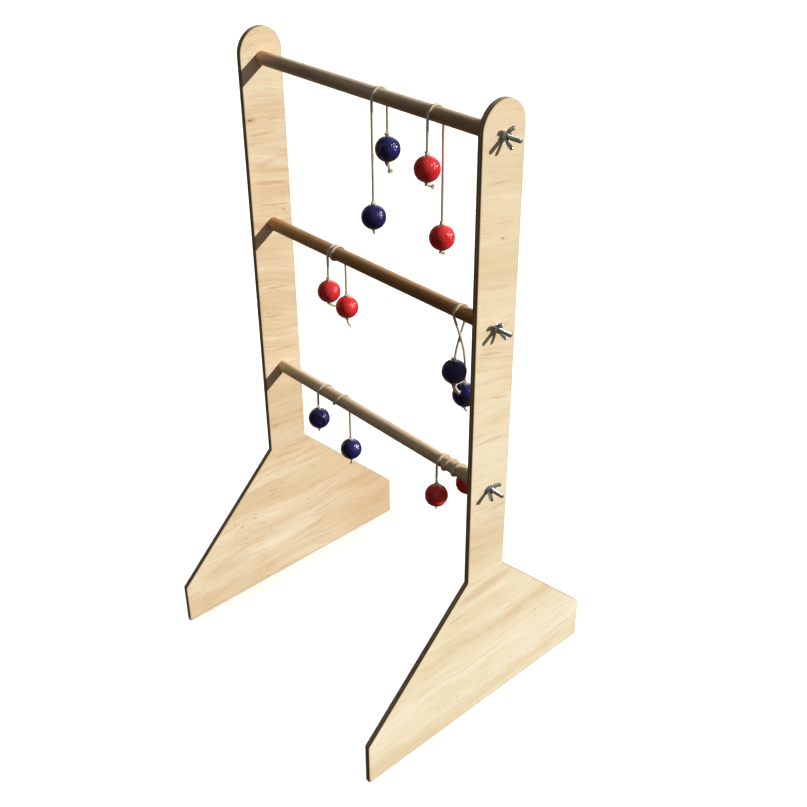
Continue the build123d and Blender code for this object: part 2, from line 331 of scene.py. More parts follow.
def ply_edge(name, x_inner, sign):
    """Cut edge: five plies, the cross plies a little darker, with thin dark glue lines."""
    m = Mat(name, rough=0.75, spec=0.2)
    p = m.position()
    x = m.split(p)[0]
    t = m.math("MULTIPLY", m.math("SUBTRACT", x, x_inner * MM), sign / (T * MM))
    t = m.math("MULTIPLY_ADD", m.math("SUBTRACT", m.noise(m.scale(p, (0, 18, 18)), detail=2), 0.5), 0.035, t)
    n = m.nt.nodes.new("ShaderNodeValToRGB")
    n.color_ramp.interpolation = "LINEAR"
    dark, mid_, light, glue = lin(166, 142, 108), lin(184, 160, 124), lin(222, 200, 162), lin(82, 62, 42)
    stops = [(0.0, dark), (0.17, mid_), (0.195, glue), (0.22, dark), (0.37, dark), (0.395, glue), (0.43, light),
             (0.57, light), (0.605, glue), (0.63, dark), (0.78, dark), (0.805, glue), (0.83, mid_), (1.0, dark)]
    e = n.color_ramp.elements
    while len(e) < len(stops):
        e.new(0.5)
    for el, (pos, c) in zip(e, stops):
        el.position, el.color = pos, c
    m.put(n.inputs["Fac"], t)
    fibre = m.noise(m.scale(p, (900, 60, 60)), detail=3, rough=0.6)
    col = m.mix(m.remap(fibre, 0.42, 0.72, 0.0, 0.45), n.outputs["Color"], lin(110, 86, 60))
    col = m.mix(m.remap(m.noise(m.scale(p, (40, 26, 26), (3, 1, 2)), detail=3), 0.45, 0.7, 0.0, 0.4), col,
                lin(130, 106, 78))
    m.colour(col)
    m.bump(fibre, 0.00018, 0.7)
    return m.mat


def outline_points():
    """Panel outline in (y, z), counter-clockwise, closely spaced, corners eased by 0.8 mm."""
    corner = [(-45, 1155), (-45, 330), (-288.5, 89), (-288.5, 0), (288.5, 0), (288.5, 89), (45, 330), (45, 1155)]
    ease, pts = 0.8, []
    c = [np.array(q, float) for q in corner]
    for i in range(len(c) - 1):
        a, b = c[i].copy(), c[i + 1].copy()
        d = (b - a) / np.linalg.norm(b - a)
        if i > 0:
            a = a + d * ease
        if i < len(c) - 2:
            b = b - d * ease
        n = max(2, int(np.linalg.norm(b - a) / 3.0))
        for k in range(n + 1):
            pts.append(a + (b - a) * k / n)
        if i < len(c) - 2:
            d2 = (c[i + 2] - c[i + 1]) / np.linalg.norm(c[i + 2] - c[i + 1])
            q0, q1, q2 = b, c[i + 1], c[i + 1] + d2 * ease
            for s in (0.33, 0.67):
                pts.append(q0 * (1 - s) ** 2 + q1 * 2 * s * (1 - s) + q2 * s * s)
    for k in range(1, 64):
        a = pi * k / 64
        pts.append(np.array((45 * math.cos(a), 1155 + 45 * math.sin(a))))
    return np.array(pts)


def make_panel(side):
    sign = 1 if side == "right" else -1
    x0 = sign * IN
    if side == "right":
        tint = [(240, 231, 208), (233, 221, 190), (223, 203, 166), (221, 199, 162)]
        marks = [(0, 905, -0.24, 52, 5, 0.30), (-6, 1075, -0.10, 44, 3, 0.30), (12, 1010, -0.12, 26, 1.8, 0.45),
                 (-8, 790, -0.24, 40, 3.0, 0.45), (14, 700, -0.30, 32, 2.4, 0.40), (0, 620, -0.18, 48, 5, 0.35),
                 (0, 296, 0.04, 100, 17, 0.42), (-73, 262, 0.0, 32, 2.4, 0.60), (79, 208, 0.0, 38, 1.5, 0.50),
                 (120, 232, 0.02, 60, 2.2, 0.26), (20, 120, 0.0, 130, 3.0, 0.14), (-170, 96, 0.0, 40, 1.4, 0.40),
                 (30, 470, -0.12, 34, 3, 0.40), (-18, 400, -0.10, 30, 2.0, 0.40)]
        knots = [(6, 985, 1.0), (150, 150, 0.9)]
        face = plywood("ply_face_right", tint, 0.70, 0.22, 0.0, 1.0, 3.7, marks, knots)
    else:
        tint = [(234, 221, 195), (225, 206, 173), (212, 188, 151), (217, 197, 163)]
        marks = [(-10, 1010, -0.05, 42, 4, 0.55), (0, 915, -0.15, 50, 5, 0.60), (6, 870, -0.22, 48, 2.6, 0.60),
                 (-4, 955, 0.18, 40, 8, 0.30), (0, 700, -0.12, 44, 3.4, 0.45), (-16, 640, -0.16, 30, 2.6, 0.5),
                 (6, 560, -0.10, 38, 3.0, 0.4), (0, 430, -0.10, 44, 3.2, 0.45), (0, 302, -0.10, 62, 5.0, 0.45),
                 (6, 320, -0.12, 50, 2.6, 0.35), (-40, 272, 0.0, 55, 3.0, 0.40), (60, 262, -0.06, 80, 6.0, 0.30),
                 (176, 138, -0.12, 95, 13, 0.34), (-182, 90, 0.0, 85, 24, 0.30), (-60, 205, -0.03, 70, 2.2, 0.35),
                 (90, 186, -0.05, 70, 2.4, 0.32), (20, 84, 0.0, 50, 1.4, 0.45), (200, 70, 0.0, 45, 1.6, 0.45)]
        knots = [(-35, 1040, 3.0), (-30, 385, 1.8), (60, 240, 1.2)]
        face = plywood("ply_face_left", tint, 0.35, 0.26, 0.42, 1.55, 8.9, marks, knots)
    edge = ply_edge(f"ply_edge_{side}", x0, sign)
    line = outline_points()
    n = len(line)
    nxt, prv = np.roll(line, -1, 0), np.roll(line, 1, 0)
    t = nxt - prv
    t /= np.linalg.norm(t, axis=1)[:, None]
    inward = np.stack([-t[:, 1], t[:, 0]], 1)          # counter-clockwise, so the left side is inside
    s = np.arange(n)
    rng = np.random.default_rng(5 if side == "right" else 6)
    k = rng.normal(size=n)
    k = np.convolve(np.r_[k[-6:], k, k[:6]], np.ones(5) / 5, "same")[6:-6]
    ripple = 0.035 * (k - k.min()) / (k.max() - k.min())
    # (distance through the ply, inset): a soft arris, and each glue line a shallow groove
    layers = [(0.0, 0.40), (0.14, 0.12), (0.42, 0.0), (1.90, 0.01), (2.0, 0.13), (2.12, 0.03), (3.90, 0.04), (4.0, 0.14),
              (4.12, 0.0), (5.88, 0.0), (6.0, 0.14), (6.12, 0.04), (7.88, 0.03), (8.0, 0.13), (8.10, 0.01),
              (9.58, 0.0), (9.86, 0.12), (10.0, 0.40)]
    verts, faces, fm, soot = [], [], [], []
    floor = line[:, 1] < 0.5                           # the foot's sole stays flat on the floor
    for d, inset in layers:
        amount = inset + ripple * (1.0 if 0.3 < d < 9.7 else 0.0)
        q = line + inward * amount[:, None]
        q[floor, 1] = np.where((inset > 0.3), 0.22, 0.0)
        for a, b in q:
            verts.append((x0 + sign * d, a, b))
        soot += [1.0] * n
    L = len(layers)
    faces += ring_faces(L, n, 0, flip=(sign > 0))
    fm += [1] * len(faces)
    holes = []
    for h in LEVELS.values():
        ang = np.linspace(0, 2 * pi, 40, endpoint=False)
        holes.append(np.stack([4.3 * np.cos(ang), h + 4.3 * np.sin(ang)], 1))
    cap_holes = {}
    for end, d, base in (("in", 0.0, 0), ("out", T, (L - 1) * n)):
        inner = line + inward * 2.6
        start = len(verts)
        for a, b in inner:
            verts.append((x0 + sign * d, a, b))
        soot += [0.0] * n
        flip = (end == "in") == (sign > 0)
        for j in range(n):
            kx = (j + 1) % n
            f = (base + j, base + kx, start + kx, start + j)
            faces.append(f[::-1] if flip else f)
            fm.append(0)
        loops, index = [[Vector((a, b, 0)) for a, b in inner]], list(range(start, start + n))
        ids = []
        for hole in holes:
            hs = len(verts)
            for a, b in hole:
                verts.append((x0 + sign * d, a, b))
            soot.extend([0.6] * len(hole))
            ids.append(hs)
            index += list(range(hs, hs + len(hole)))
            loops.append([Vector((a, b, 0)) for a, b in hole])
        cap_holes[end] = ids
        for tri in tessellate_polygon(loops):
            a, b, c = (index[i] for i in tri)
            pa, pb, pc = (np.array(verts[i][1:]) for i in (a, b, c))
            area = (pb[0] - pa[0]) * (pc[1] - pa[1]) - (pb[1] - pa[1]) * (pc[0] - pa[0])
            if abs(area) < 1e-9:
                continue
            want = 1 if (end == "out") == (sign > 0) else -1
            faces.append((a, b, c) if area * want > 0 else (a, c, b))
            fm.append(0)
    for hi, ho in zip(cap_holes["in"], cap_holes["out"]):
        for j in range(40):
            k2 = (j + 1) % 40
            f = (hi + j, hi + k2, ho + k2, ho + j)
            faces.append(f if sign < 0 else f[::-1])
            fm.append(1)
    o = mesh_object(f"{side}_panel", verts, faces, [face, edge], sharp=32, face_mats=fm, floats={"edge": soot})
    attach(o, "frame")
    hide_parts(f"{side}_side_panel")
    return o


# ------------------------------------------------------------ rungs
def rung_wood(name, base, dark, light, painted_bounce_left, seed):
    m = Mat(name, rough=0.5, spec=0.25)
    p = m.position()
    x = m.split(p)[0]
    a = m.noise(m.scale(p, (2.2, 46, 46), (seed, 0, 0)), detail=3, rough=0.55, distortion=0.3)
    b = m.noise(m.scale(p, (14, 330, 330), (seed, 2, 0)), detail=3, rough=0.6)
    c = m.noise(m.scale(p, (38, 900, 900), (0, seed, 0)), detail=2, rough=0.6)
    d = m.noise(m.scale(p, (5.0, 5.0, 5.0), (seed, 1, 4)), detail=2)
    col = m.ramp(a, [(0.30, dark), (0.50, base), (0.70, light)])
    col = m.mix(m.math("MULTIPLY", m.remap(b, 0.50, 0.72), 0.42), col, dark)
    pores = m.remap(c, 0.62, 0.72)
    col = m.mix(m.math("MULTIPLY", pores, 0.45), col, lin(74, 50, 32))
    col = m.mix(m.math("MULTIPLY", m.remap(d, 0.46, 0.66), 0.28), col, light)
    # painted bounce light: the rung's left end, beside the sunlit left panel, is painted warmer and lighter
    if painted_bounce_left:
        col = m.mix(m.remap(x, -0.235, -0.275, 0.0, 0.55, smooth=True), col, lin(206, 158, 110))
    m.colour(col)
    m.rough(m.remap(b, 0.3, 0.7, 0.42, 0.58))
    m.bump(m.math("ADD", b, m.math("MULTIPLY", pores, -0.6)), 0.00012, 0.6)
    return m.mat


# each rung: base, dark and light wood tones, whether its left end gets painted bounce light, and a noise seed
RUNG_LOOK = {
    "top": (lin(198, 171, 138), lin(152, 125, 95), lin(228, 206, 174), True, 1.3),
    "middle": (lin(177, 129, 78), lin(137, 93, 54), lin(200, 156, 104), False, 6.1),
    "bottom": (lin(209, 183, 146), lin(167, 138, 104), lin(234, 214, 181), False, 11.7),
}


def make_rung(level):
    h = LEVELS[level]
    base, dark, light, painted_bounce, seed = RUNG_LOOK[level]
    mat = rung_wood(f"{level}_rung_wood", base, dark, light, painted_bounce, seed)
    n = 88
    ang = np.linspace(0, 2 * pi, n, endpoint=False)
    xs = [-IN, -IN + 0.15, -IN + 0.6] + list(np.linspace(-IN + 4, IN - 4, 210)) + [IN - 0.6, IN - 0.15, IN]
    rng = np.random.default_rng(int(seed * 10))
    ph = rng.uniform(0, 2 * pi, 6)
    verts = []
    for x in xs:
        edge = IN - abs(x)
        cut = 0.6 - edge if edge < 0.6 else 0.0
        # a turned dowel: very slightly oval, with faint flats left by the cutter
        wear = 0.030 * (1 + np.cos(2 * ang + ph[0] + x * 0.004)) + 0.020 * (1 + np.cos(9 * ang + ph[1] + x * 0.011)) \
            + 0.012 * (1 + math.cos(x * 0.21 + ph[2]))
        r = RUNG_R - wear - cut
        verts += [(x, rr * math.cos(a), h + rr * math.sin(a)) for a, rr in zip(ang, r)]
    faces = ring_faces(len(xs), n, 0, flip=True)
    for end, first in ((-1, 0), (1, (len(xs) - 1) * n)):
        prev = first
        # face of the end, the bore's mouth, the bore down to its bottom, then the bottom
        for r, dx in ((8.0, 0.0), (4.25, 0.0), (4.02, 0.25), (4.02, 20.0), (4.02, 39.6), (2.2, 39.9), (0.02, 40.0)):
            start = len(verts)
            for a in ang:
                verts.append((end * (IN - dx), r * math.cos(a), h + r * math.sin(a)))
            for j in range(n):
                k = (j + 1) % n
                f = (prev + j, prev + k, start + k, start + j)
                faces.append(f if end > 0 else f[::-1])
            prev = start
        faces.append(tuple(range(prev, prev + n)) if end > 0 else tuple(range(prev, prev + n))[::-1])
    o = mesh_object(f"{level}_dowel", verts, faces, [mat], sharp=40)
    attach(o, "frame")
    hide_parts(f"{level}_rung")


# ------------------------------------------------------------ metal
def zinc(name, base, rough, seed, streak, metal=0.9, bright=lin(226, 228, 226)):
    m = Mat(name, rough=rough, metal=metal)
    p = m.position()
    a = m.noise(m.scale(p, (260, 260, 260), (seed, 0, 0)), detail=4, rough=0.6)
    b = m.noise(m.scale(p, streak, (0, seed, 0)), detail=3, rough=0.6)
    col = m.mix(m.remap(a, 0.40, 0.70), base, bright)
    col = m.mix(m.math("MULTIPLY", m.remap(b, 0.56, 0.74), 0.35), col, lin(140, 134, 118))
    m.colour(col)
    m.rough(m.remap(a, 0.3, 0.7, rough - 0.07, rough + 0.12))
    m.bump(b, 0.00004, 0.5)
    return m.mat


stud_mat = zinc("zinc_stud", lin(196, 198, 196), 0.27, 1.0, (300, 1500, 1500))
nut_mat = zinc("zinc_wing_nut", lin(136, 143, 144), 0.29, 4.0, (700, 700, 700), 0.93, lin(176, 184, 185))
washer_mat = zinc("zinc_washer", lin(192, 194, 192), 0.30, 7.0, (200, 900, 900))


def make_stud(level, side):
    """Hanger bolt: pointed wood-screw half in the rung, plain waist, machine thread outside."""
    sign = 1 if side == "right" else -1
    h, n = LEVELS[level], 48
    x = np.concatenate([np.arange(247.5, 284.0, 0.31), np.arange(284.0, 291.0, 0.7), np.arange(291.0, 330.001, 1.25 / 12)])
    x[-1] = 330.0
    ang = np.linspace(0, 2 * pi, n, endpoint=False)
    verts = []
    for v in x:
        if v < 284.0:
            core, crest, pitch = 2.75, 3.98, 3.1
            taper = min(1.0, (v - 247.0) / 9.0)
        elif v < 291.0:
            core, crest, pitch, taper = 3.55, 3.55, 1.25, 1.0
        else:
            core, crest, pitch, taper = 3.32, 3.98, 1.25, 1.0
        ph = (v / pitch - sign * ang / (2 * pi)) % 1.0
        tri = np.abs(ph - 0.5) * 2.0
        prof = np.clip((tri - 0.12) / 0.76, 0, 1)
        r = (core + (crest - core) * prof) * (0.25 + 0.75 * taper)
        if v > 329.1:
            r = np.minimum(r, 3.98 - (v - 329.1))
        verts += [(sign * v, rr * math.cos(a), h + rr * math.sin(a)) for a, rr in zip(ang, r)]
    m = len(x)
    faces = ring_faces(m, n, 0, flip=(sign > 0))
    for first, end in ((0, -1), ((m - 1) * n, 1)):
        c = len(verts)
        verts.append((sign * (x[0] if end < 0 else x[-1]), 0, h))
        for j in range(n):
            k = (j + 1) % n
            f = (first + j, first + k, c)
            faces.append(f if (end * sign > 0) else f[::-1])
    o = mesh_object(f"{level}_{side}_hanger_bolt", verts, faces, [stud_mat], sharp=50)
    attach(o, "frame")
    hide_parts(f"{level}_{side}_stud")


def make_washer(level, side):
    sign = 1 if side == "right" else -1
    h, n = LEVELS[level], 72
    x0 = OUT + 0.05
    prof = [(4.32, 0.18), (4.45, 0.0), (7.75, 0.0), (7.95, 0.10), (8.0, 0.35), (7.99, 1.15), (7.88, 1.42), (7.6, 1.58),
            (7.1, 1.6), (4.65, 1.6), (4.42, 1.50), (4.31, 1.30)]
    verts = lathe_x(prof, n, (sign * x0, 0, h), sign)
    k = len(prof)
    faces = []
    for i in range(k):
        a, b = i * n, ((i + 1) % k) * n
        for j in range(n):
            q = (j + 1) % n
            f = (a + j, b + j, b + q, a + q)
            faces.append(f if sign < 0 else f[::-1])
    o = mesh_object(f"{level}_{side}_flat_washer", verts, faces, [washer_mat], sharp=50)
    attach(o, f"{level}_{side}_washer")
    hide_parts(f"{level}_{side}_washer")


def catmull(points, n):
    p = np.array(points, float)
    p = np.vstack([2 * p[0] - p[1], p, 2 * p[-1] - p[-2]])
    out = []
    for i in range(1, len(p) - 2):
        for s in np.linspace(0, 1, n, endpoint=False):
            out.append(0.5 * ((2 * p[i]) + (-p[i - 1] + p[i + 1]) * s
                              + (2 * p[i - 1] - 5 * p[i] + 4 * p[i + 1] - p[i + 2]) * s * s
                              + (-p[i - 1] + 3 * p[i] - 3 * p[i + 1] + p[i + 2]) * s ** 3))
    out.append(p[-2])
    return np.array(out)


def wing_nut_master():
    """Cast wing nut: local X radial, Y across the wing, Z outward; the wings grow out of the
    base with cast fillets. Built from closed shapes fused at 0.28 mm, then bored."""
    parts = []
    n = 56
    ang = np.linspace(0, 2 * pi, n, endpoint=False)
    prof = [(0.01, 0.0), (7.3, 0.0), (7.8, 0.6), (7.8, 1.8), (7.35, 3.4), (6.3, 7.1), (5.9, 7.7), (5.3, 8.0), (0.01, 8.0)]
    v = [(r * math.cos(a), r * math.sin(a), z) for r, z in prof for a in ang]
    f = ring_faces(len(prof), n, 0, flip=True)
    f += [tuple(range(n)), tuple(range((len(prof) - 1) * n, len(prof) * n))[::-1]]
    parts.append((v, f))
    lower = catmull([(2.5, 1.2), (4.6, 1.8), (9.5, 2.8), (13.9, 6.7), (17.7, 12.4)], 8)
    upper = catmull([(2.5, 7.0), (4.6, 7.8), (8.9, 11.3), (12.0, 15.6), (14.3, 17.1)], 8)
    k = len(lower)
    for sgn in (1, -1):
        v, f = [], []
        m = 14
        for i in range(k):
            s = i / (k - 1)
            a, b = lower[i], upper[i]
            mid, half = (a + b) / 2, (b - a) / 2
            # thick at the root, thinner along the wing, a full rounded pad at the tip
            th = 2.35 - 0.25 * math.sin(pi * s) + 0.05 * s
            for t in np.linspace(0, 2 * pi, m, endpoint=False):
                c, q = math.cos(t), math.sin(t)
                e = np.sign(c) * abs(c) ** 0.55
                w = np.sign(q) * abs(q) ** 0.75
                pnt = mid + half * e
                v.append((sgn * pnt[0], th * w, pnt[1]))
        for i in range(k - 1):
            for j in range(m):
                j2 = (j + 1) % m
                face = (i * m + j, i * m + j2, (i + 1) * m + j2, (i + 1) * m + j)
                f.append(face if sgn > 0 else face[::-1])
        f.append(tuple(range(m))[::-1] if sgn > 0 else tuple(range(m)))
        # rounded tip
        last = (k - 1) * m
        a, b = lower[-1], upper[-1]
        out = np.array([b[1] - a[1], -(b[0] - a[0])])
        out /= np.linalg.norm(out)
        mid, half = (a + b) / 2, (b - a) / 2
        prev = last
        for ang_t in (30, 55, 75):
            cs, sn = math.cos(math.radians(ang_t)), math.sin(math.radians(ang_t))
            start = len(v)
            for t in np.linspace(0, 2 * pi, m, endpoint=False):
                c, q = math.cos(t), math.sin(t)
                e = np.sign(c) * abs(c) ** 0.55
                w = np.sign(q) * abs(q) ** 0.75
                pnt = mid + half * e * cs + out * 1.25 * sn
                v.append((sgn * pnt[0], 2.40 * w * cs, pnt[1]))
            for j in range(m):
                j2 = (j + 1) % m
                face = (prev + j, prev + j2, start + j2, start + j)
                f.append(face if sgn > 0 else face[::-1])
            prev = start
        f.append(tuple(range(prev, prev + m)) if sgn > 0 else tuple(range(prev, prev + m))[::-1])
        parts.append((v, f))
    verts, faces = [], []
    for v, f in parts:
        o = len(verts)
        verts += v
        faces += [tuple(i + o for i in q) for q in f]
    o = mesh_object("wing_nut_master", np.array(verts) * 1000, faces, [nut_mat], smooth=False)
    # worked in mm as metres, so that the remesh and the boolean have comfortable numbers
    bm = bmesh.new()
    bm.from_mesh(o.data)
    bmesh.ops.recalc_face_normals(bm, faces=bm.faces)
    bm.to_mesh(o.data)
    bm.free()
    rm = o.modifiers.new("fuse", "REMESH")
    rm.mode, rm.voxel_size, rm.adaptivity = "VOXEL", 0.28, 0.0
    sm = o.modifiers.new("cast", "SMOOTH")
    sm.factor, sm.iterations = 0.5, 5
    me = bpy.data.meshes.new_from_object(o.evaluated_get(bpy.context.evaluated_depsgraph_get()))
    old = o.data
    o.modifiers.clear()
    o.data = me
    bpy.data.meshes.remove(old)
    # threaded bore: a helical cutter
    n, pitch = 48, 1.25
    ang = np.linspace(0, 2 * pi, n, endpoint=False)
    zs = np.arange(-1.0, 10.0, 0.16)
    v = []
    for z in zs:
        ph = (z / pitch - ang / (2 * pi)) % 1.0
        r = 4.06 + 0.42 * np.clip((np.abs(ph - 0.5) * 2 - 0.25) / 0.6, 0, 1)
        r = r + np.clip(0.55 - z, 0, 0.55) + np.clip(z - 7.45, 0, 0.55)
        v += [(rr * math.cos(a), rr * math.sin(a), z) for a, rr in zip(ang, r)]
    f = ring_faces(len(zs), n, 0, flip=True)
    f += [tuple(range(n)), tuple(range((len(zs) - 1) * n, len(zs) * n))[::-1]]
    cut = mesh_object("bore_cutter", np.array(v) * 1000, f, [nut_mat], smooth=False)
    bm = bmesh.new()
    bm.from_mesh(cut.data)
    bmesh.ops.recalc_face_normals(bm, faces=bm.faces)
    bm.to_mesh(cut.data)
    bm.free()
    bo = o.modifiers.new("bore", "BOOLEAN")
    bo.operation, bo.object, bo.solver = "DIFFERENCE", cut, "EXACT"
    me = bpy.data.meshes.new_from_object(o.evaluated_get(bpy.context.evaluated_depsgraph_get()))
    co = np.array([q.co for q in me.vertices], float)
    fa = [tuple(q.vertices) for q in me.polygons]
    for q in (o, cut):
        d = q.data
        bpy.data.objects.remove(q)
        bpy.data.meshes.remove(d)
    bpy.data.meshes.remove(me)
    return co, fa


NUT = wing_nut_master()


def make_wing_nut(level, side):
    sign = 1 if side == "right" else -1
    h = LEVELS[level]
    ang = math.radians(WING_ANGLE[f"{level}_{side}"])
    radial = np.array((0, math.cos(ang), math.sin(ang)))
    outw = np.array((sign, 0, 0.0))
    across = np.cross(outw, radial)
    seat = np.array((sign * (OUT + 0.05 + 1.6 + 0.05), 0, h))
    co, fa = NUT
    v = seat + co[:, :1] * radial + co[:, 1:2] * across + co[:, 2:3] * outw
    o = mesh_object(f"{level}_{side}_wing_nut_cast", v, fa, [nut_mat], sharp=48)
    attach(o, f"{level}_{side}_wing_nut")
    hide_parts(f"{level}_{side}_wing_nut")


# ------------------------------------------------------------ balls
def geodesic(freq):
    """Points of an icosahedron whose faces are divided freq times, on the unit sphere."""
    g = (1 + 5 ** 0.5) / 2
    v = np.array([(-1, g, 0), (1, g, 0), (-1, -g, 0), (1, -g, 0), (0, -1, g), (0, 1, g), (0, -1, -g), (0, 1, -g),
                  (g, 0, -1), (g, 0, 1), (-g, 0, -1), (-g, 0, 1)], float)
    v /= np.linalg.norm(v, axis=1)[:, None]
    f = [(0, 11, 5), (0, 5, 1), (0, 1, 7), (0, 7, 10), (0, 10, 11), (1, 5, 9), (5, 11, 4), (11, 10, 2), (10, 7, 6),
         (7, 1, 8), (3, 9, 4), (3, 4, 2), (3, 2, 6), (3, 6, 8), (3, 8, 9), (4, 9, 5), (2, 4, 11), (6, 2, 10),
         (8, 6, 7), (9, 8, 1)]
    seen = {}
    for a, b, c in f:
        for i in range(freq + 1):
            for j in range(freq + 1 - i):
                p = (v[a] * i + v[b] * j + v[c] * (freq - i - j)) / freq
                p = p / np.linalg.norm(p)
                seen[tuple(np.round(p, 6))] = p
    return np.array(list(seen.values()))


def ball_master():
    """Dimpled ball of radius BALL_R in mm, drilled through along Z."""
    bm = bmesh.new()
    bmesh.ops.create_icosphere(bm, subdivisions=6, radius=1.0)
    me = bpy.data.meshes.new("ball_master")
    bm.to_mesh(me)
    bm.free()
    co = np.array([v.co for v in me.vertices], float)
    co /= np.linalg.norm(co, axis=1)[:, None]
    # the pattern is turned so that no dimple row lines up with the drilled hole
    turn = np.array(Matrix.Rotation(0.53, 3, "X") @ Matrix.Rotation(0.31, 3, "Y"))
    spots = geodesic(6) @ turn.T
    tree = KDTree(len(spots))
    for i, s in enumerate(spots):
        tree.insert(Vector(s), i)
    tree.balance()
    d = np.array([tree.find(Vector(c))[2] for c in co]) * BALL_R
    rim, depth = 1.82, 0.46
    k = np.clip(1 - (d / rim) ** 2, 0, 1)
    dip = depth * k ** 0.80
    rad = np.hypot(co[:, 0], co[:, 1]) * BALL_R
    chamfer = np.clip(3.5 - rad, 0, 1.2) * 0.55
    co = co * (BALL_R - dip - chamfer)[:, None]
    me.vertices.foreach_set("co", co.ravel())
    o = bpy.data.objects.new("ball_master", me)
    bpy.context.scene.collection.objects.link(o)
    n = 48
    v = [(2.6 * math.cos(a), 2.6 * math.sin(a), z) for z in (-24, 24) for a in np.linspace(0, 2 * pi, n, endpoint=False)]
    f = ring_faces(2, n, 0, flip=True) + [tuple(range(n)), tuple(range(n, 2 * n))[::-1]]
    cut = mesh_object("drill", np.array(v) * 1000, f, [], smooth=False)
    bm = bmesh.new()
    bm.from_mesh(cut.data)
    bmesh.ops.recalc_face_normals(bm, faces=bm.faces)
    bm.to_mesh(cut.data)
    bm.free()
    bo = o.modifiers.new("drill", "BOOLEAN")
    bo.operation, bo.object, bo.solver = "DIFFERENCE", cut, "EXACT"
    out = bpy.data.meshes.new_from_object(o.evaluated_get(bpy.context.evaluated_depsgraph_get()))
    co = np.array([q.co for q in out.vertices], float)
    fa = [tuple(q.vertices) for q in out.polygons]
    for q in (o, cut):
        dd = q.data
        bpy.data.objects.remove(q)
        bpy.data.meshes.remove(dd)
    bpy.data.meshes.remove(out)
    return co, fa


BALL = ball_master()


def ball_paint(name, base, deep, light, seed):
    """Brushed-on gloss paint over a dimpled shell: an uneven coat, and painted shade darkening the dimples."""
    m = Mat(name, rough=0.14, spec=0.44)
    p = m.position()
    a = m.noise(m.scale(p, (55, 55, 55), (seed, 0, 0)), detail=3, rough=0.55)
    b = m.noise(m.scale(p, (420, 420, 420), (0, seed, 0)), detail=2, rough=0.5)
    dip = m.attribute("dip")
    col = m.mix(m.remap(a, 0.36, 0.66), deep, base)
    col = m.mix(m.math("MULTIPLY", m.remap(b, 0.55, 0.75), 0.30), col, light)
    # painted shade: the deeper a point lies in a dimple, the darker the paint
    col = m.mix(m.math("MULTIPLY", dip, 0.40), col, deep)
    m.colour(col)
    m.rough(m.remap(a, 0.3, 0.7, 0.10, 0.18))
    m.bump(m.math("ADD", b, a), 0.00004, 0.5)
    return m.mat


PAINT = {"blue": ball_paint("ball_blue_paint", lin(44, 42, 112), lin(25, 23, 70), lin(66, 64, 142), 2.0),
         "red": ball_paint("ball_red_paint", lin(236, 60, 64), lin(206, 36, 40), lin(244, 100, 100), 5.0)}


def make_ball(node, body, centre, axis, turn):
    """centre in mm; axis is the drilled hole's direction, up the cord."""
    up = np.array(Vector(axis).normalized())
    side = np.cross(up, (0, 1, 0.0))
    side /= np.linalg.norm(side)
    fwd = np.cross(up, side)
    c, s = math.cos(turn), math.sin(turn)
    ex, ey = side * c + fwd * s, -side * s + fwd * c
    co, fa = BALL
    v = np.array(centre, float) + co[:, :1] * ex + co[:, 1:2] * ey + co[:, 2:3] * up
    rad = np.linalg.norm(co, axis=1)
    dip = np.clip((BALL_R - rad) / 0.42, 0, 1)
    colour = "blue" if "blue" in node else "red"
    o = mesh_object(node + "_dimpled", v, fa, [PAINT[colour]], sharp=60, floats={"dip": dip})
    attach(o, body)
    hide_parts(node)


# ------------------------------------------------------------ cord
def cotton(name, base, deep, light, seed):
    m = Mat(name, rough=0.92, spec=0.15)
    p = m.attribute("rest", "Vector")
    a = m.noise(m.scale(p, (60, 60, 60), (seed, 0, 0)), detail=2)
    b = m.noise(m.scale(p, (1500, 1500, 1500), (0, seed, 0)), detail=3, rough=0.65)
    valley_shade = m.attribute("valley_shade")
    col = m.mix(m.remap(a, 0.35, 0.65), base, light)
    col = m.mix(m.math("MULTIPLY", m.remap(b, 0.48, 0.75), 0.35), col, deep)
    # painted shade: the cotton is darkened where it dips into the valleys between crossing strands
    col = m.mix(m.math("MULTIPLY", valley_shade, 0.55), col, deep)
    m.colour(col)
    m.b.inputs["Sheen Weight"].default_value = 0.25
    m.b.inputs["Sheen Roughness"].default_value = 0.6
    m.bump(b, 0.00012, 0.6)
    return m.mat


cord_mat = cotton("cotton_cord", lin(226, 213, 184), lin(172, 150, 112), lin(240, 231, 210), 1.0)
knot_mat = cotton("cotton_knot", lin(234, 222, 196), lin(180, 160, 126), lin(244, 236, 218), 4.0)
fray_mat = cotton("cotton_fray", lin(232, 222, 198), lin(176, 156, 122), lin(244, 236, 218), 7.0)


def spline_line(points):
    """Centreline of the smooth NURBS route with these control points, in mm, about 0.4 mm apart."""
    cu = bpy.data.curves.new("route", "CURVE")
    cu.dimensions = "3D"
    sp = cu.splines.new("NURBS")
    sp.points.add(len(points) - 1)
    for q, c in zip(sp.points, mm(points)):
        q.co = (*c, 1.0)
    sp.order_u = 3
    sp.use_endpoint_u = True
    sp.resolution_u = 40
    ob = bpy.data.objects.new("route", cu)
    bpy.context.scene.collection.objects.link(ob)
    me = bpy.data.meshes.new_from_object(ob)
    line = np.array([v.co for v in me.vertices], float).reshape(-1, 3) / MM
    bpy.data.meshes.remove(me)
    bpy.data.objects.remove(ob)
    bpy.data.curves.remove(cu)
    return spaced(line, 0.40)


def spaced(line, step):
    seg = np.linalg.norm(np.diff(line, axis=0), axis=1)
    keep = np.r_[True, seg > 1e-7]
    line = line[keep]
    along = np.r_[0, np.cumsum(np.linalg.norm(np.diff(line, axis=0), axis=1))]
    n = max(2, int(round(along[-1] / step)))
    at = np.linspace(0, along[-1], n + 1)
    return np.stack([np.interp(at, along, line[:, k]) for k in range(3)], 1)


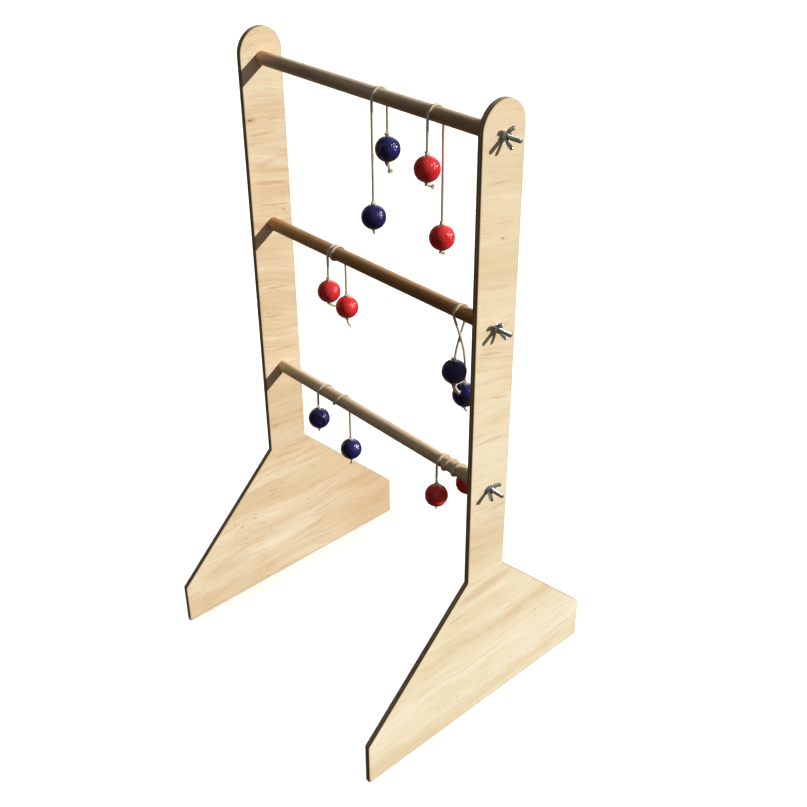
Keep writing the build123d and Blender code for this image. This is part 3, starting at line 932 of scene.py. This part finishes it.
def frames(line):
    t = np.gradient(line, axis=0)
    t /= np.linalg.norm(t, axis=1)[:, None]
    u = np.cross(t[0], (1.0, 0.3, 0.2))
    u /= np.linalg.norm(u)
    us = []
    for k in t:
        u = u - k * (u @ k)
        u /= np.linalg.norm(u)
        us.append(u)
    us = np.array(us)
    return t, us, np.cross(t, us)


def bearing(line, h, whole=False):
    """How much of the cord's tension bears on the rung, 0 to 1, and the way out from the rung's axis."""
    out = np.stack([np.zeros(len(line)), line[:, 1], line[:, 2] - h], 1)
    out /= np.linalg.norm(out, axis=1)[:, None]
    k = np.ones(len(line)) if whole else np.clip((line[:, 2] - h + 7.0) / 14.0, 0, 1)
    return k * k * (3 - 2 * k), out


def seated(line, h, whole=False):
    """The centreline drawn in by the cord's flattening, so that it still lies on the rung."""
    k, out = bearing(line, h, whole)
    return line - out * (0.70 * k)[:, None]


def braided(name, line, mat, radius=2.25, around=36, strands=4, pick=3.3, relief=0.19, start_s=0.0, rung=None,
            whole=False):
    """A braided cord: strands that cross over and under, as relief on a tube along line.
    It's pressed flat, wide and thin, where it bears on the rung at height rung."""
    t, u, w = frames(line)
    s = start_s + np.r_[0, np.cumsum(np.linalg.norm(np.diff(line, axis=0), axis=1))]
    th = np.linspace(0, 2 * pi, around, endpoint=False)
    S, TH = np.meshgrid(s, th, indexing="ij")
    a = np.cos(strands * TH + 2 * pi * S / pick / 2)
    b = np.cos(strands * TH - 2 * pi * S / pick / 2)
    weave = a * b                                    # diamonds where one strand lies over another
    height = relief * (np.abs(weave) ** 0.6) * np.where(weave > 0, 1.0, 0.72)
    r = radius - relief * 0.45 + height
    off = r[..., None] * (np.cos(TH)[..., None] * u[:, None] + np.sin(TH)[..., None] * w[:, None])
    if rung is not None:
        k, out = bearing(line, rung, whole)
        deep = (off * out[:, None]).sum(2)[..., None] * out[:, None]
        along = (off * t[:, None]).sum(2)[..., None] * t[:, None]
        side = off - deep - along
        k = k[:, None, None]
        off = deep * (1 - 0.30 * k) + side * (1 + 0.38 * k) + along
    v = line[:, None] + off
    verts = v.reshape(-1, 3)
    # how far down each point lies between the crossing strands; it sets the painted shade in the valleys
    valley_shade = (1 - np.clip(height / relief * 1.4, 0, 1)).ravel()
    m = len(line)
    faces = ring_faces(m, around, 0, flip=True)
    vl, vv = list(valley_shade), verts.tolist()
    for first, end in ((0, -1), ((m - 1) * around, 1)):
        c = len(vv)
        vv.append((line[0] if end < 0 else line[-1]).tolist())
        vl.append(0.6)
        for j in range(around):
            k = (j + 1) % around
            faces.append((first + j, first + k, c) if end > 0 else (first + k, first + j, c))
    vv = np.array(vv)
    return mesh_object(name, vv, faces, [mat], sharp=80, floats={"valley_shade": vl}, vectors={"rest": vv * MM})


def overhand(name, centre, up, body, seed, size=1.0):
    """A pulled-tight overhand knot: one looped strand that passes through itself."""
    rng = np.random.default_rng(seed)
    up = np.array(Vector(up).normalized())
    side = np.cross(up, (0.3, 1, 0.1))
    side /= np.linalg.norm(side)
    fwd = np.cross(up, side)
    ph = rng.uniform(0, 2 * pi)
    t = np.linspace(0, 2 * pi, 150)[:-1]
    x = (np.sin(t) + 2 * np.sin(2 * t)) * 1.16 * size
    y = (np.cos(t) - 2 * np.cos(2 * t)) * 1.16 * size
    z = -np.sin(3 * t) * 1.45 * size + 0.35 * np.sin(t + ph)
    c, s = math.cos(ph), math.sin(ph)
    x, y = x * c - y * s, x * s + y * c
    line = np.array(centre, float) + x[:, None] * side + y[:, None] * fwd + z[:, None] * up
    line = np.vstack([line, line[:1]])
    o = braided(name, line, knot_mat, radius=1.92 * size, around=24, pick=2.8, relief=0.18)
    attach(o, body)
    return o


def fray(name, tip, direction, body, seed, count=16, length=3.0, spread=0.30, fat=1.6):
    """Loose cotton fibres at the cut end of a cord."""
    rng = np.random.default_rng(seed)
    d = np.array(Vector(direction).normalized())
    u = np.cross(d, (0.2, 0.1, 1.0))
    u /= np.linalg.norm(u)
    w = np.cross(d, u)
    verts, faces, rest = [], [], []
    for i in range(count):
        a = rng.uniform(0, 2 * pi)
        q = rng.uniform(0.2, 1.0)
        ln = length * rng.uniform(0.55, 1.0)
        off = (u * math.cos(a) + w * math.sin(a))
        base = np.array(tip) - d * 1.2 + off * 1.5 * q
        bend = off * spread * q + np.array((rng.normal(), rng.normal(), rng.normal() - 0.5)) * 0.10
        k = 9
        pts = np.array([base + d * ln * s + bend * ln * s * s + off * (fat - 1.6) * q * math.sin(min(1.0, 1.8 * s) * pi / 2)
                        for s in np.linspace(0, 1, k)])
        t, uu, ww = frames(pts)
        n = 6
        o = len(verts)
        for j in range(k):
            r = 0.40 * (1 - 0.62 * j / (k - 1))
            for b in np.linspace(0, 2 * pi, n, endpoint=False):
                verts.append(pts[j] + r * (uu[j] * math.cos(b) + ww[j] * math.sin(b)))
        faces += ring_faces(k, n, o, flip=True)
        faces.append(tuple(range(o, o + n)))
        faces.append(tuple(range(o + (k - 1) * n, o + k * n))[::-1])
    verts = np.array(verts)
    # the loose fibres get a little of the cord's painted valley shade, evenly
    o = mesh_object(name, verts, faces, [fray_mat], sharp=80, floats={"valley_shade": np.full(len(verts), 0.15)},
                    vectors={"rest": verts * MM})
    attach(o, body)
    return o


def between(table):
    def at(t):
        return float(np.interp(t, [a for a, _ in table], [b for _, b in table]))
    return at


# each tail, from the lower knot's underside, in mm: two route points, then the knot's size and
# the frayed end's number of fibres, their length and how far the bundle swells
TAILS = {
    "top_blue_front": ([(0.7, 0.0, -0.9), (1.4, 0.6, -1.8)], 0.74, 10, 1.6, 1.6),
    "top_blue_back": ([(1.5, 1.7, -3.4), (2.1, 2.4, -6.2)], 1.12, 150, 7.2, 4.6),
    "top_red_front": ([(2.9, 3.3, 1.0), (4.8, 5.5, 0.4)], 0.98, 90, 6.4, 3.6),
    "top_red_back": ([(1.4, 1.6, 0.8), (2.8, 3.2, 0.6)], 1.08, 60, 3.8, 3.0),
    "middle_red_front": ([(4.0, 4.2, -0.2), (6.6, 6.4, -1.0)], 0.86, 22, 3.0, 2.0),
    "middle_red_back": ([(1.0, 1.0, -5.6), (3.6, 3.9, -10.5)], 0.86, 20, 3.6, 2.0),
    "bottom_blue_front": ([(-0.5, -0.7, -0.9), (-1.0, -1.2, -1.8)], 0.80, 10, 1.6, 1.6),
    "bottom_blue_back": ([(1.0, 0.8, -3.0), (-0.6, -1.0, -6.5)], 0.80, 9, 4.0, 1.2),
    "bottom_red_front": ([(0.1, 0.1, -0.6), (0.2, 0.2, -1.2)], 0.66, 8, 1.2, 1.4),
    "bottom_red_back": ([(0.3, 0.3, -1.0), (0.5, 0.5, -2.2)], 0.80, 10, 1.8, 1.6),
    "middle_blue_upper": ([(2.2, 2.2, -5.0), (5.4, 5.6, -11.6)], 1.12, 70, 4.6, 3.4),
    "middle_blue_lower": ([(1.8, 2.0, -1.4), (3.6, 4.0, -3.6)], 0.86, 18, 2.6, 1.8),
}


def below(centre, axis, key):
    """The route under a ball, from its tail's tip up to the ball's centre line."""
    c = np.array(centre, float)
    up = np.array(Vector(axis).normalized())
    knot_low = c - up * (KNOT_SEAT + KNOT_H)
    p1, p2 = (knot_low + np.array(q) for q in TAILS[key][0])
    return [tuple(p2), tuple(p1), tuple(c - up * (KNOT_SEAT + KNOT_H * 0.5)), tuple(c - up * KNOT_SEAT),
            tuple(c + up * KNOT_SEAT)]


BOLAS = {
    "top_blue": ("top", 0.5, [(0, 24.0), (90, 26.0), (180, 28.0)], 943.5, 1055.0),
    "top_red": ("top", 0.5, [(0, 152.9), (90, 155.0), (180, 157.4)], 1061.5, 939.5),
    "middle_red": ("middle", 1.5, [(0, -105.5), (90, -104.6), (270, -100.6), (450, -94.8), (540, -91.6)], 759.0, 721.5),
    "bottom_blue": ("bottom", 1.5, [(0, -155.2), (90, -151.5), (180, -144.0), (270, -122.0), (360, -102.5),
                                    (450, -96.4), (540, -94.2)], 460.0, 402.0),
    "bottom_red": ("bottom", 2.5, [(0, 182.6), (90, 184.4), (180, 186.8), (270, 190.6), (360, 196.0), (450, 203.8),
                                   (540, 210.2), (630, 215.2), (720, 219.8), (810, 224.8), (900, 228.8)], 451.0, 487.0),
}


def make_bola(name):
    level, turns, table, z_front, z_back = BOLAS[name]
    h = LEVELS[level]
    x_at = between(table)
    total = 360 * turns
    corners = [(x_at(30 * (i + 0.5)), -RHO_C * math.cos(math.radians(30 * (i + 0.5))),
                h + RHO_C * math.sin(math.radians(30 * (i + 0.5)))) for i in range(round(total / 30))]
    f_c = (table[0][1], -RHO, z_front)
    snug = name == "bottom_red"
    b_c = (228.2, 18.0, z_back) if snug else (table[-1][1], RHO, z_back)
    b_top = (table[-1][1], RHO, h - 1.5) if snug else (table[-1][1], RHO, h - 8.0)
    f_axis, b_axis = (0, 0, 1), tuple(np.array(b_top) - np.array(b_c))
    x0, x1 = table[0][1], table[-1][1]
    route = below(f_c, f_axis, f"{name}_front")
    route += [(x0, -RHO, h - 21.0), (x0, -RHO, h - 4.0)] + corners
    # the snug last strand has only 10 mm between the rung and its knot
    route += [b_top] if snug else [(x1, RHO, h - 4.0), (x1, RHO, h - 21.0)]
    route += below(b_c, b_axis, f"{name}_back")[::-1]
    line = spline_line(route)
    ang = np.degrees(np.unwrap(np.arctan2(line[:, 2] - h, -line[:, 1])))
    ang = ang - 360 * round((ang[0] + 90) / 360)
    joins = [90.0] if turns == 0.5 else [60.0, total - 60.0]
    cuts = [int(np.argmax(ang >= a)) for a in joins]
    along = np.r_[0, np.cumsum(np.linalg.norm(np.diff(line, axis=0), axis=1))]
    bola, front, back = f"{name}_bola", f"{name}_front", f"{name}_back"
    for which, body, seg, centre, axis, seed in (
            ("front", front, line[:cuts[0] + 1][::-1], f_c, f_axis, 11), ("back", back, line[cuts[-1]:], b_c, b_axis, 12)):
        seg = seated(seg, h)
        o = braided(f"{name}_{which}_strand", seg, cord_mat, rung=h)
        up = np.array(Vector(axis).normalized())
        c = np.array(centre)
        tip = seg[-1]
        _, size, fibres, ln, fat = TAILS[f"{name}_{which}"]
        tail_dir = seg[-1] - seg[-8]
        sd = (sum(map(ord, name)) + seed) % 9973
        pieces = [overhand(f"{name}_{which}_upper_knot", c + up * (KNOT_SEAT + 2.9), up, body, sd, 0.90 if snug and which == "back" else 1.0),
                  overhand(f"{name}_{which}_lower_knot", c - up * (KNOT_SEAT + 2.9 * size), up, body, sd + 1, size),
                  fray(f"{name}_{which}_frayed_end", tip, tail_dir, body, sd + 2, fibres, ln, fat=fat)]
        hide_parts(f"{name}_{which}_cord")
        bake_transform(o)
    if turns == 0.5:
        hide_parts(f"{name}_cord_over_rung")
    else:
        seg = seated(line[cuts[0]:cuts[1] + 1], h, whole=True)
        o = braided(f"{name}_turns_on_rung", seg, cord_mat, start_s=along[cuts[0]], rung=h, whole=True)
        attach(o, bola)
        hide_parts(f"{name}_cord_over_rung")
    make_ball(f"{name}_front_ball", front, f_c, f_axis, 0.3 + (sum(map(ord, name)) % 7))
    make_ball(f"{name}_back_ball", back, b_c, b_axis, 1.1 + (sum(map(ord, name)) % 5))


def make_crossed_bola():
    """Half a turn over the middle rung, then the strands cross: the front one carries the lower ball."""
    name, h = "middle_blue", LEVELS["middle"]
    x0, x1 = 216.6, 220.4
    corners = [(x0 + (x1 - x0) * 30 * (i + 0.5) / 180, -RHO_C * math.cos(math.radians(30 * (i + 0.5))),
                h + RHO_C * math.sin(math.radians(30 * (i + 0.5)))) for i in range(6)]
    low_c, up_c = (220.6, 12.0, 670.6), (218.4, -12.0, 725.0)
    front_x, back_x = (221.7, 0.0, 785.0), (217.1, 0.0, 785.0)
    route = below(low_c, (0, 0, 1), f"{name}_lower")
    route += [(220.6, 12.0, 741.0), front_x, (x0, -RHO, h - 3.5)] + corners
    route += [(x1, RHO, h - 3.5), back_x, (218.4, -12.0, 750.0)] + below(up_c, (0, 0, 1), f"{name}_upper")[::-1][1:]
    line = spline_line(route)
    top = int(np.argmax(line[:, 2]))
    bola, pair = f"{name}_bola", f"{name}_pair"
    for which, seg, c, seed in (("lower", line[:top + 1][::-1], low_c, 21), ("upper", line[top:], up_c, 22)):
        seg = seated(seg, h)
        o = braided(f"{name}_{which}_strand", seg, cord_mat, rung=h)
        _, size, fibres, ln, fat = TAILS[f"{name}_{which}"]
        c = np.array(c)
        tail_dir = seg[-1] - seg[-8]
        pieces = [overhand(f"{name}_{which}_upper_knot", c + (0, 0, KNOT_SEAT + 2.9), (0, 0, 1), pair, seed, 1.0),
                  overhand(f"{name}_{which}_lower_knot", c - (0, 0, KNOT_SEAT + 2.9 * size), (0, 0, 1), pair, seed + 5, size),
                  fray(f"{name}_{which}_frayed_end", seg[-1], tail_dir, pair, seed + 9, fibres, ln, fat=fat)]
        if which == "upper":                   # its tail is doubled back, so two lengths hang side by side
            second = spaced(seg[-36:] + np.array((-2.1, -2.4, -0.4)), 0.4)
            o2 = braided(f"{name}_doubled_tail", second, cord_mat, radius=1.9)
            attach(o2, pair)
            pieces.append(o2)
        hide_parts(f"{name}_{which}_cord")
        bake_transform(o)
    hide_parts(f"{name}_cord_over_rung")
    make_ball(f"{name}_lower_ball", pair, low_c, (0, 0, 1), 0.8)
    make_ball(f"{name}_upper_ball", pair, up_c, (0, 0, 1), 2.6)


for bola_name in BOLAS:
    make_bola(bola_name)
make_crossed_bola()
for side_name in ("left", "right"):
    make_panel(side_name)
for level_name in LEVELS:
    make_rung(level_name)
    for side_name in ("left", "right"):
        make_stud(level_name, side_name)
        make_washer(level_name, side_name)
        make_wing_nut(level_name, side_name)


# ------------------------------------------------------------ floor, light, world
def make_floor():
    n, verts, faces = 96, [], []
    radii = [0.0001, 0.8, 1.6, 3.0, 6.0, 12.0]
    for r in radii:
        for k in range(n):
            a = 2 * pi * k / n
            verts.append((r * 1000 * math.cos(a), r * 1000 * math.sin(a), -0.4))
    faces = ring_faces(len(radii), n, 0, flip=False)
    nt_mat = bpy.data.materials.new("studio_floor")
    nt_mat.use_nodes = True
    nt = nt_mat.node_tree
    nt.nodes.clear()
    out = nt.nodes.new("ShaderNodeOutputMaterial")
    seen = nt.nodes.new("ShaderNodeBsdfDiffuse")
    seen.inputs["Color"].default_value = (0.93, 0.93, 0.93, 1)
    dim = nt.nodes.new("ShaderNodeBsdfDiffuse")
    dim.inputs["Color"].default_value = (0.042, 0.034, 0.025, 1)
    path = nt.nodes.new("ShaderNodeLightPath")
    mix = nt.nodes.new("ShaderNodeMixShader")
    nt.links.new(path.outputs["Is Camera Ray"], mix.inputs[0])
    nt.links.new(dim.outputs[0], mix.inputs[1])
    nt.links.new(seen.outputs[0], mix.inputs[2])
    nt.links.new(mix.outputs[0], out.inputs["Surface"])
    o = mesh_object("studio_floor", verts, [f[::-1] for f in faces], [nt_mat], smooth=False)
    return o


floor = make_floor()


def aim(o, direction):
    """Points a light's -Z along direction."""
    o.rotation_euler = Vector(direction).to_track_quat("-Z", "Y").to_euler()


def link_only(light, objects, state):
    coll = bpy.data.collections.new(light.name + "_linking")
    light.light_linking.receiver_collection = coll
    for q in objects:
        coll.objects.link(q)
    for c in coll.collection_objects:
        c.light_linking.link_state = state


key = bpy.data.lights.new("key", "SUN")
key.energy, key.angle = 4.5, math.radians(0.9)
key.color = (1.0, 0.985, 0.96)
key_o = bpy.data.objects.new("key", key)
bpy.context.scene.collection.objects.link(key_o)
aim(key_o, (-32.5, -28.0, -18.5))
link_only(key_o, [floor], "EXCLUDE")

fill = bpy.data.lights.new("fill", "AREA")
fill.shape, fill.size = "DISK", 2.6
fill.energy = 46
fill.color = (1.0, 0.94, 0.86)
fill_o = bpy.data.objects.new("fill", fill)
bpy.context.scene.collection.objects.link(fill_o)
fill_o.location = (-2.3, 2.9, 1.9)
aim(fill_o, (2.3, -2.9, -1.3))
link_only(fill_o, [floor], "EXCLUDE")

over = bpy.data.lights.new("floor_light", "SUN")
over.energy, over.angle = 4.1, math.radians(100)
over_o = bpy.data.objects.new("floor_light", over)
bpy.context.scene.collection.objects.link(over_o)
over_o.location = (0, 0, 5.0)
link_only(over_o, [floor], "INCLUDE")

world = bpy.data.worlds.new("studio")
bpy.context.scene.world = world
world.use_nodes = True
wn = world.node_tree
wn.nodes.clear()
w_out = wn.nodes.new("ShaderNodeOutputWorld")
bg_seen, bg_light = wn.nodes.new("ShaderNodeBackground"), wn.nodes.new("ShaderNodeBackground")
bg_seen.inputs["Color"].default_value = (0.955, 0.955, 0.955, 1)
# soft sky above, a dim warm ground below
w_dir = wn.nodes.new("ShaderNodeTexCoord")
w_xyz = wn.nodes.new("ShaderNodeSeparateXYZ")
w_map = wn.nodes.new("ShaderNodeMapRange")
w_ramp = wn.nodes.new("ShaderNodeValToRGB")
w_map.inputs["From Min"].default_value, w_map.inputs["From Max"].default_value = -1.0, 1.0
wn.links.new(w_dir.outputs["Generated"], w_xyz.inputs[0])
wn.links.new(w_xyz.outputs["Z"], w_map.inputs["Value"])
wn.links.new(w_map.outputs[0], w_ramp.inputs["Fac"])
w_ramp.color_ramp.elements[0].position, w_ramp.color_ramp.elements[0].color = 0.30, (0.065, 0.050, 0.033, 1)
w_ramp.color_ramp.elements[1].position, w_ramp.color_ramp.elements[1].color = 1.0, (0.25, 0.254, 0.262, 1)
w_mid = w_ramp.color_ramp.elements.new(0.52)
w_mid.color = (0.080, 0.075, 0.068, 1)
wn.links.new(w_ramp.outputs["Color"], bg_light.inputs["Color"])
# brighter on the key light's side
w_dot = wn.nodes.new("ShaderNodeVectorMath")
w_dot.operation = "DOT_PRODUCT"
w_dot.inputs[1].default_value = (0.86, 0.51, 0.0)
wn.links.new(w_dir.outputs["Generated"], w_dot.inputs[0])
w_side = wn.nodes.new("ShaderNodeMapRange")
for w_name, w_value in (("From Min", -1.0), ("From Max", 1.0), ("To Min", 0.22), ("To Max", 2.1)):
    w_side.inputs[w_name].default_value = w_value
wn.links.new(w_dot.outputs["Value"], w_side.inputs["Value"])
wn.links.new(w_side.outputs[0], bg_light.inputs["Strength"])
w_path = wn.nodes.new("ShaderNodeLightPath")
w_mix = wn.nodes.new("ShaderNodeMixShader")
wn.links.new(w_path.outputs["Is Camera Ray"], w_mix.inputs[0])
wn.links.new(bg_light.outputs[0], w_mix.inputs[1])
wn.links.new(bg_seen.outputs[0], w_mix.inputs[2])
wn.links.new(w_mix.outputs[0], w_out.inputs["Surface"])

bpy.context.scene.view_settings.view_transform = "Standard"
